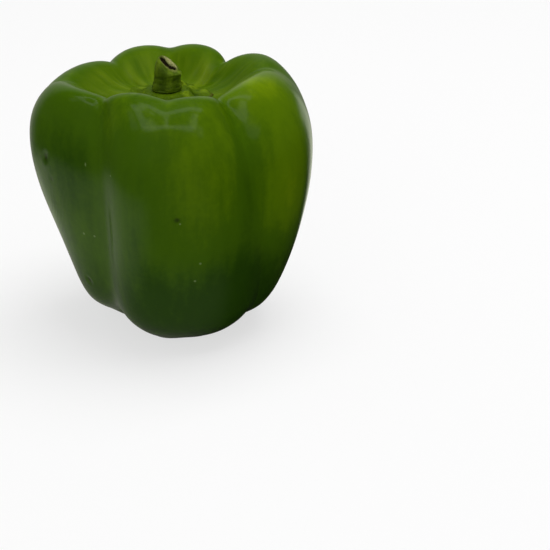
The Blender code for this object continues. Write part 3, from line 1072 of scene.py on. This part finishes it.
def calyx_surface(turn, climb):
    """Points of the calyx, above the skin under it: its underside from the middle out, then its top."""
    angle = turn * 2 * np.pi
    out = np.where(climb < 0.5, 2 * climb, 2 - 2 * climb)
    phase = CALYX_TEETH * (angle - np.radians(TOOTH_TURN)) + 0.6 * np.sin(2 * angle)
    tooth = np.cos(phase)
    rim = CALYX_RADIUS + TOOTH_REACH * tooth + 0.5 * np.sin(2 * angle + 1) + 0.25 * np.sin(11 * angle + 0.7)
    radius = out * rim
    ribs = 0.65 * np.clip(tooth, 0, 1) ** 3 + 0.35 * np.clip(-tooth, 0, 1) ** 5
    leafy = smooth_step(radius, STALK_SEAT - 0.4, STALK_SEAT + 1.6)
    slope = (CALYX_CROWN - LEAF_EDGE) * np.exp(-((np.maximum(radius - STALK_SEAT, 0) / LEAF_FALL) ** 2))
    collar = COLLAR[2] * np.exp(-(((radius - COLLAR[0]) / COLLAR[1]) ** 2))
    rib_height = bpy.context.scene.pepper_calyx.rib_height / MM
    raised = rib_height * ribs * leafy * (1 - smooth_step(out, 0.80, 1.0))
    x = radius * np.cos(angle)
    y = radius * np.sin(angle)
    for knob in CALYX_KNOBS.values():
        across = x - knob.radius * np.cos(np.radians(knob.azimuth))
        along = y - knob.radius * np.sin(np.radians(knob.azimuth))
        raised = raised + knob.height * np.exp(-(across**2 + along**2) / knob.spread**2)
    raised = np.maximum(raised, -DEEPEST_VALLEY - slope)
    bulge = np.sqrt(np.clip(1 - out**8, 0, 1))
    lift = LEAF_GAP + np.where(climb < 0.5, 0, (LEAF_EDGE + slope + collar + raised) * bulge)
    azimuth = np.degrees(angle)
    from_right = np.abs(around(azimuth, 5))
    masks = {
        # rib paints highlight on the raised ribs and lumps, valley paints shade in the low places, and rim
        # is a dried edge that is partly a painted shadow line.
        "rib": np.clip(raised / 0.6, 0, 1),
        "valley": np.clip(-raised / 0.5, 0, 1),
        "rim": smooth_step(out, 0.90, 0.98) * np.exp(-((around(azimuth, 2) / 26) ** 2)),
        "fade": smooth_step(out, 0.62, 0.96) * (0.15 + 0.85 * smooth_step(from_right, 45, 80)),
        "top": (climb > 0.5) * smooth_step(radius, STALK_SEAT - 0.2, STALK_SEAT + 0.6),
    }
    return np.column_stack([x, y + CREST_LEAN, lift]), masks


def lay_on(points, skin, mesh):
    """Adds the height of the skin under each point, apart from the seat of the stalk, which is level."""
    bpy.context.view_layer.update()
    seat = seat_height() * MM
    level = (1 - read_mask(mesh, "top")) * (points[:, 2] > (LEAF_GAP + 0.01) * MM)
    for point, flat in zip(points, level):
        hit, place, _, _ = skin.ray_cast(Vector((point[0], point[1], 2 * seat)), Vector((0, 0, -1)))
        need(hit, "the calyx reaches past the skin")
        point[2] += place.z
        point[2] += (seat - point[2]) * flat
    return points


def calyx_material(look):
    """Dull yellow green, with ribs and lumps painted paler as highlight, valleys painted darker as shade,
    and a dried brown edge that is partly a painted shadow line on the right.
    """
    leaf = Shading("calyx")
    blotches = leaf.patches(2.4, 0.32, 0.70, detail=4.0)
    tint = leaf.blend(blotches, look.leaf, look.rib, 0.22)
    # Painted highlight on the ribs and lumps, and painted shade in the valleys.
    tint = leaf.blend(leaf.between(leaf.mask("rib"), 0.15, 0.95), tint, look.rib)
    tint = leaf.blend(leaf.mask("valley"), tint, look.valley, 0.8)
    tint = leaf.blend(leaf.mask("fade"), tint, look.join, 0.85)
    # The dried edge on the right is partly a painted shadow line.
    ragged = leaf.math("MULTIPLY", leaf.mask("rim"), leaf.patches(1.5, 0.25, 0.55, detail=4.0))
    tint = leaf.blend(ragged, tint, look.edge)
    dots = leaf.effect(freckles(), spacing=1.1 * MM, radius=0.30, amount=0.35)
    leaf.feed("Base Color", leaf.blend(dots, tint, look.edge, 0.2))
    leaf.feed("Roughness", leaf.between(blotches, 0, 1, look.roughness - 0.08, look.roughness + 0.12))
    leaf.feed("Specular IOR Level", look.specular)
    grain = leaf.effect(fine_grain(), size=0.7 * MM, pores=0.2)
    leaf.bump((grain, 0.10 * MM), (blotches, 0.12 * MM))
    return leaf.material


class PEPPER_OT_calyx(bpy.types.Operator):
    """Builds the calyx: a ribbed, lumpy green collar that lies on the floor of the hollow"""

    bl_idname = "pepper.calyx"
    bl_label = "Calyx"

    def execute(self, context):
        look = context.scene.pepper_calyx
        piece = wrap("calyx_leaf", "calyx", look, calyx_surface)
        mesh = piece.data
        points = lay_on(points_of(mesh), context.scene.objects["fruit_skin"], mesh)
        move_points(mesh, points)
        lumps = sum(height * noise_at(points, size, shift=shift) for height, size, shift in CALYX_LUMPS)
        lumps = (lumps + LUMPS_RAISED) * read_mask(mesh, "top") * (1 - 0.7 * read_mask(mesh, "rim"))
        move_points(mesh, points + normals_of(mesh) * lumps[:, None] * MM)
        finish_piece(piece, "calyx", calyx_material(look))
        return {"FINISHED"}


def stalk_surface(turn, climb):
    """Points of the stalk, from the middle of its base up its side and over the cut to the pith."""
    angle = turn * 2 * np.pi
    radius, height, rib = profile(list(STALK_SECTIONS.values()), climb)
    height = np.maximum(height, 0)
    knots = knots_of(STALK_SECTIONS)
    cut = smooth_step(climb, knots["cut edge"] - 0.01, knots["cut edge"] + 0.03)
    tilt = smooth_step(height, CUT_START, STALK_SECTIONS["cut edge"].height)
    across = np.minimum(radius, CUT_RADIUS)
    cut_rise = across * (CUT_RISE[0] * np.cos(angle) + CUT_RISE[1] * np.sin(angle))
    ridges = np.cos(STALK_RIBS * (angle - np.radians(FIRST_RIB)) + 0.5 * np.sin(angle))
    radius = radius + rib * ridges
    x = radius * np.cos(angle)
    y = radius * np.sin(angle)
    far, branch = (
        ((x - place[0]) / half[0]) ** 2 + ((y - place[1]) / half[1]) ** 2
        for place, half in ((SLIT_PLACE, SLIT_HALF), (BRANCH_PLACE, BRANCH_HALF))
    )
    notches = noise_at(np.column_stack([x, y, 0.3 * height]) * MM, SLIT_RAGGED[1], shift=3.3)
    slit = np.minimum(far, branch + 0.3) + SLIT_RAGGED[0] * notches
    slit = (1 - smooth_step(slit, 0.5, 1.4)) * cut
    lean = STALK_LEAN * (height / STALK_SECTIONS["cut edge"].height) ** 2
    height = (seat_height() + SKIN_GAP) + height + tilt * cut_rise - SLIT_DEPTH * slit
    masks = {
        "cut": cut,
        "slit": slit,
        "pale_side": smooth_step(y + 0.25 * x, 0.7, 1.5) * smooth_step(x, -2.2, -0.9) * cut,
        # Painted light: the left side of the stem is painted lighter.
        "lit_side": smooth_step(-np.cos(angle), 0.35, 0.95) * (1 - cut),
        "ridge": smooth_step(ridges, -0.1, 0.9) * (1 - cut),
        "side": smooth_step(climb, knots["base edge"], knots["base edge"] + 0.03) * (1 - cut),
    }
    return np.column_stack([x + lean, y + CREST_LEAN, height]), masks


def stalk_material(look):
    """A dull green stem with pale ridges, a left side painted lighter as lit, painted shade in its wrinkles,
    and a cut with cream pith on one side and a dark slit that is partly painted shade.
    """
    stem = Shading("stalk")
    streaks = stem.patches(0.8, 0.30, 0.72, stretch=5.0, detail=4.0)
    blotches = stem.patches(1.8, 0.32, 0.68, detail=4.0)
    bright = stem.math("MULTIPLY", stem.mask("ridge"), stem.between(blotches, 0, 1, 0.35, 0.9))
    tint = stem.blend(streaks, look.stem, look.ridge, 0.25)
    tint = stem.blend(bright, tint, look.ridge)
    # Painted light on the left side of the stem.
    tint = stem.blend(stem.mask("lit_side"), tint, look.ridge, 0.7)
    # Painted shade at the bottom of the wrinkles.
    tint = stem.blend(stem.mask("painted_wrinkle_shade"), tint, look.furrow_shade, 0.6)
    fibres = stem.patches(0.45, 0.35, 0.65, detail=5.0)
    pale = stem.math("MULTIPLY", stem.mask("pale_side"), stem.between(fibres, 0, 1, 0.35, 1.0))
    face = stem.blend(pale, look.pith, look.rim)
    slit = stem.math("ADD", stem.mask("slit"), stem.math("MULTIPLY", fibres, 0.25))
    # The slit is partly its own dark brown and partly painted shade.
    face = stem.blend(stem.between(slit, 0.45, 0.75), face, look.hollow)
    cut = stem.mask("cut")
    stem.feed("Base Color", stem.blend(cut, tint, face))
    stem.feed("Roughness", stem.between(cut, 0, 1, look.roughness, 0.85))
    stem.feed("Specular IOR Level", look.specular)
    grain = stem.effect(fine_grain(), size=0.5 * MM, pores=0.2)
    stem.bump((grain, 0.08 * MM), (streaks, 0.08 * MM))
    return stem.material


WRINKLED_UP_TO = (3.0, 8.0)  # heights above the calyx between which the wrinkles fade
BARK_DEPTH = 0.16
FIBRE_HEIGHT = 0.20  # on the cut
FIBRE_SINK = 0.22


def stalk_relief(points, mesh, look):
    """How far each point moves along its normal, in metres, and where the wrinkles are deepest, which is
    painted as shade.
    """
    above = points[:, 2] / MM - seat_height()
    creased = noise_at(points, 0.8, (3.0, 3.0, 1.0), 2.2) + 0.5 * noise_at(points, 0.5, (2.4, 2.4, 1.0), 6.1)
    lower = 1 - smooth_step(above, *WRINKLED_UP_TO)
    wrinkles = np.clip(creased, -1, 1) * (0.25 + 0.75 * lower)
    bark = noise_at(points, 1.6, (1, 1, 3.0), 4.4)
    side = read_mask(mesh, "side")
    cut = read_mask(mesh, "cut")
    fibres = FIBRE_HEIGHT * noise_at(points, 0.6, shift=8.8) - FIBRE_SINK
    move = (look.wrinkle * (wrinkles - 0.9) + BARK_DEPTH * MM * (bark - 0.6)) * side + fibres * cut * MM
    return move, np.clip(-2.2 * creased - 0.2, 0, 1) * (0.3 + 0.7 * lower) * side


class PEPPER_OT_stalk(bpy.types.Operator):
    """Builds the stalk: a short ridged stem, wrinkled at its base and cut on a slant"""

    bl_idname = "pepper.stalk"
    bl_label = "Stalk"

    def execute(self, context):
        look = context.scene.pepper_stalk
        piece = wrap("stalk_stem", "stalk", look, stalk_surface)
        mesh = piece.data
        points = points_of(mesh)
        move, painted_wrinkle_shade = stalk_relief(points, mesh, look)
        set_mask(mesh, "painted_wrinkle_shade", painted_wrinkle_shade)
        move_points(mesh, keep_in_box(points + normals_of(mesh) * move[:, None], "stalk"))
        finish_piece(piece, "stalk", stalk_material(look))
        return {"FINISHED"}


PALE_SIDE = (-0.92, 0.38, 0.0)  # from which the skin mirrors a pale room and floor
BOUNCE_SIDE = (-0.8, -0.6, 0.0)  # from which the floor throws most light up
FOOT_SIDE = (-0.5, -0.85, 0.0)  # on which the foot mirrors the floor that it stands on
BEHIND = (-0.25, 0.93, 0.26)  # past the fruit, where its crest and outline mirror the pale room
BEHIND_REACH = (0.60, 0.97)  # cosines of the angles from there at which that starts and is full
STRIP_TURN = math.radians(34)  # of the bright strip behind the fruit, from straight behind to the right
STRIP_EDGE = (0.08, 0.28)  # sines of the angles from its middle at which the strip fades
STRIP_TOP = (-0.05, 0.12)  # heights of the directions at which it fades in the room
PAPER_START = (0.035, 0.075)  # distances from the fruit's axis, as the next two are, in metres
PAPER_END = (0.11, 0.18)
FOOT_END = (0.045, 0.085)
MIRROR_TINT = (0.95, 1.0, 0.80)


def strip_glow(nodes, towards, stage):
    """The tall bright strip behind the fruit on the right, for a direction from its axis."""
    ahead, aside = math.cos(STRIP_TURN), math.sin(STRIP_TURN)
    side = nodes.vector("DOT_PRODUCT", towards, (ahead, -aside, 0.0))
    off = nodes.add("Math", {0: side}, operation="ABSOLUTE").outputs[0]
    inside = nodes.between(off, *STRIP_EDGE, stage.strip, 0.0)
    return nodes.math("MULTIPLY", inside, nodes.along(towards, (aside, ahead, 0.0), 0.3, 0.6, 0.0, 1.0))


def floor_material(stage):
    """Pale to the camera, with a light shadow, and less pale in the light that it throws back up."""
    material = bpy.data.materials.new("floor")
    material.use_nodes = True
    floor = Nodes(material.node_tree)
    floor.tree.nodes.remove(floor.tree.nodes["Principled BSDF"])
    place = floor.add("TexCoord").outputs["Object"]
    away = floor.vector("LENGTH", place)
    towards = floor.vector("NORMALIZE", place)
    paper = floor.math(
        "MULTIPLY",
        floor.along(place, PALE_SIDE, -0.03, 0.03, 0.02, stage.mirrored),
        floor.between(away, *PAPER_END, 1.0, 0.05),
        floor.between(away, *PAPER_START, 0.55, 1.0),
    )
    foot = floor.along(place, FOOT_SIDE, 0.005, 0.03, 0.0, stage.foot)
    foot = floor.math("MULTIPLY", foot, floor.between(away, *FOOT_END, 1.0, 0.0))
    behind = floor.along(towards, BEHIND, *BEHIND_REACH, 0.0, stage.rim)
    mirrored = floor.math("MAXIMUM", paper, foot, behind, strip_glow(floor, towards, stage))
    throw = floor.along(place, BOUNCE_SIDE, -0.04, 0.03, stage.bounce / 4, stage.bounce)

    ray = floor.add("LightPath").outputs
    matt = floor.add("BsdfDiffuse", {"Color": stage.floor}).outputs[0]
    glow = floor.add("Emission", {"Color": stage.floor}).outputs[0]
    mirror = floor.add("Emission", {"Color": MIRROR_TINT, "Strength": mirrored}).outputs[0]
    bounce = floor.add("BsdfDiffuse", {"Color": throw}).outputs[0]
    seen = floor.either(stage.shadow, glow, matt)
    unseen = floor.either(ray["Is Glossy Ray"], bounce, mirror)
    surface = floor.either(ray["Is Camera Ray"], unseen, seen)
    floor.give(floor.tree.nodes["Material Output"].inputs["Surface"], surface)
    return material


def studio_world(stage):
    """Even light from all round, which is dim in reflections and plain white to the camera."""
    world = bpy.data.worlds.new("studio")
    world.use_nodes = True
    world.node_tree.nodes.clear()
    room = Nodes(world.node_tree)
    toward = room.add("TexCoord").outputs["Generated"]
    height = room.add("SeparateXYZ", {0: toward}).outputs["Z"]
    haze = room.along(toward, PALE_SIDE, -0.4, 0.7, 0.0, stage.haze)
    haze = room.math("MULTIPLY", haze, room.between(height, 0.05, 0.6, 1.0, 0.25))
    behind = room.along(toward, BEHIND, *BEHIND_REACH, 0.0, stage.rim)
    strip = strip_glow(room, toward, stage)
    strip = room.math("MULTIPLY", strip, room.between(height, *STRIP_TOP, 1.0, 0.0))
    mirrored = room.math("ADD", room.math("MAXIMUM", haze, behind, strip), stage.ceiling)

    ray = room.add("LightPath").outputs
    strength = room.add("Mix", {0: ray["Is Camera Ray"], 2: stage.sky, 3: 1.0}).outputs[0]
    plain = room.add("Background", {"Strength": strength}).outputs[0]
    mirror = room.add("Background", {"Color": MIRROR_TINT, "Strength": mirrored}).outputs[0]
    room.add("OutputWorld", {"Surface": room.either(ray["Is Glossy Ray"], plain, mirror)})
    return world


def add_lamp(name, size, place, aim, power, mirrored=False):
    """A soft light that faces a point. It lights the pieces unmirrored, or shows in reflections alone."""
    light = bpy.data.lights.new(name, "AREA")
    light.shape = "RECTANGLE"
    light.size, light.size_y = size
    light.energy = power
    lamp = bpy.data.objects.new(name, light)
    lamp.location = place
    lamp.rotation_euler = (Vector(aim) - Vector(place)).to_track_quat("-Z", "Y").to_euler()
    lamp.visible_camera = False
    lamp.visible_glossy = mirrored
    lamp.visible_diffuse = not mirrored
    bpy.context.scene.collection.objects.link(lamp)


class Pane(NamedTuple):
    """A bright part of the window: its size and middle in metres, and its share of the brightness."""

    size: tuple
    place: tuple
    share: float = 1.0


WINDOW_PLACE = Vector((0.02, -0.45, 1.0))
WINDOW_AIM = 0.07  # height of the places beside the fruit that the panes face
POWERED_AREA = 0.1  # square metres, the size of a pane that has the window's whole power
WINDOW = {
    "left bar": Pane((0.24, 0.48), (-0.52, -0.14), 0.9),
    "middle bar": Pane((0.12, 0.60), (-0.06, -0.10), 0.9),
    "right bar": Pane((0.22, 0.50), (0.64, -0.10), 0.9),
    "near bar": Pane((1.38, 0.18), (0.05, -0.48)),
    "far bar, left": Pane((0.40, 0.20), (-0.44, 0.19)),
    "far bar, right": Pane((1.00, 0.20), (0.22, 0.34)),
    "left curtain": Pane((0.50, 0.45), (-1.00, -0.20), 0.30),
    "right curtain": Pane((0.40, 0.40), (1.10, -0.40), 0.35),
}


def add_window(stage):
    """The bright frame of the window that the top of the fruit mirrors."""
    for name, pane in WINDOW.items():
        power = stage.window * pane.share * pane.size[0] * pane.size[1] / POWERED_AREA
        place = WINDOW_PLACE + Vector((*pane.place, 0))
        add_lamp(f"window {name}", pane.size, place, (*pane.place, WINDOW_AIM), power, mirrored=True)


IMAGE_SIDE = 550  # pixels, of the square photograph
PIXEL_SPAN = 0.318 * MM  # size of a pixel at the foot of the fruit
AIM_PIXEL = (172.7, 315.5)  # where the camera sees the foot of the axis


def add_camera(stage):
    """The camera of the photograph, worked out from the place where it sees the foot of the fruit."""
    camera = bpy.data.cameras.new("camera")
    camera.sensor_width = 36.0
    camera.lens = camera.sensor_width * stage.distance / (PIXEL_SPAN * IMAGE_SIDE)
    down = stage.elevation
    forward = Vector((0, math.cos(down), -math.sin(down)))
    up = Vector((0, math.sin(down), math.cos(down)))
    right = Vector((1, 0, 0))
    half = IMAGE_SIDE / 2
    across = (AIM_PIXEL[0] - half) * PIXEL_SPAN
    rise_by = (half - AIM_PIXEL[1]) * PIXEL_SPAN
    seen = bpy.data.objects.new("camera", camera)
    aim = Vector((-CENTRE[0], -CENTRE[1], -FOOT_PRESS)) * MM
    seen.location = aim - forward * stage.distance - right * across - up * rise_by
    seen.rotation_euler = (math.pi / 2 - down, 0, 0)
    bpy.context.scene.collection.objects.link(seen)
    bpy.context.scene.camera = seen


class PEPPER_OT_stage(bpy.types.Operator):
    """Sets up the floor, the soft light and the camera"""

    bl_idname = "pepper.stage"
    bl_label = "Stage"

    def execute(self, context):
        stage = context.scene.pepper_stage
        bpy.ops.mesh.primitive_plane_add(size=stage.floor_size)
        floor = context.object
        floor.name = "floor"
        floor.data.materials.append(floor_material(stage))
        add_lamp("overhead", size=(0.9, 0.9), place=(0.2, 0.1, 1.1), aim=(0, 0, 0.05), power=stage.overhead)
        add_lamp("front fill", size=(1.0, 0.7), place=(-0.3, -1.1, 0.5), aim=(0, 0, 0.04), power=stage.fill)
        add_window(stage)
        context.scene.world = studio_world(stage)
        context.scene.view_settings.view_transform = "Standard"
        add_camera(stage)
        return {"FINISHED"}


class PEPPER_PT_panel(bpy.types.Panel):
    """Lists the pieces of the pepper and its stage"""

    bl_label = "Pepper"
    bl_idname = "PEPPER_PT_panel"
    bl_space_type = "VIEW_3D"
    bl_region_type = "UI"
    bl_category = "Pepper"

    def draw(self, context):
        for operator in OPERATORS:
            self.layout.operator(operator.bl_idname)


SETTINGS = {
    "pepper_skin": PEPPER_PG_skin,
    "pepper_calyx": PEPPER_PG_calyx,
    "pepper_stalk": PEPPER_PG_stalk,
    "pepper_stage": PEPPER_PG_stage,
}
OPERATORS = (PEPPER_OT_fruit, PEPPER_OT_calyx, PEPPER_OT_stalk, PEPPER_OT_stage)


def register():
    for made in (*SETTINGS.values(), *OPERATORS, PEPPER_PT_panel):
        bpy.utils.register_class(made)
    for name, group in SETTINGS.items():
        setattr(bpy.types.Scene, name, PointerProperty(type=group))


def unregister():
    for name in SETTINGS:
        delattr(bpy.types.Scene, name)
    for made in (PEPPER_PT_panel, *OPERATORS, *SETTINGS.values()):
        bpy.utils.unregister_class(made)


def main():
    register()
    bpy.ops.pepper.stage()
    bpy.ops.pepper.fruit()
    bpy.ops.pepper.calyx()
    bpy.ops.pepper.stalk()


if __name__ == "__main__":
    main()
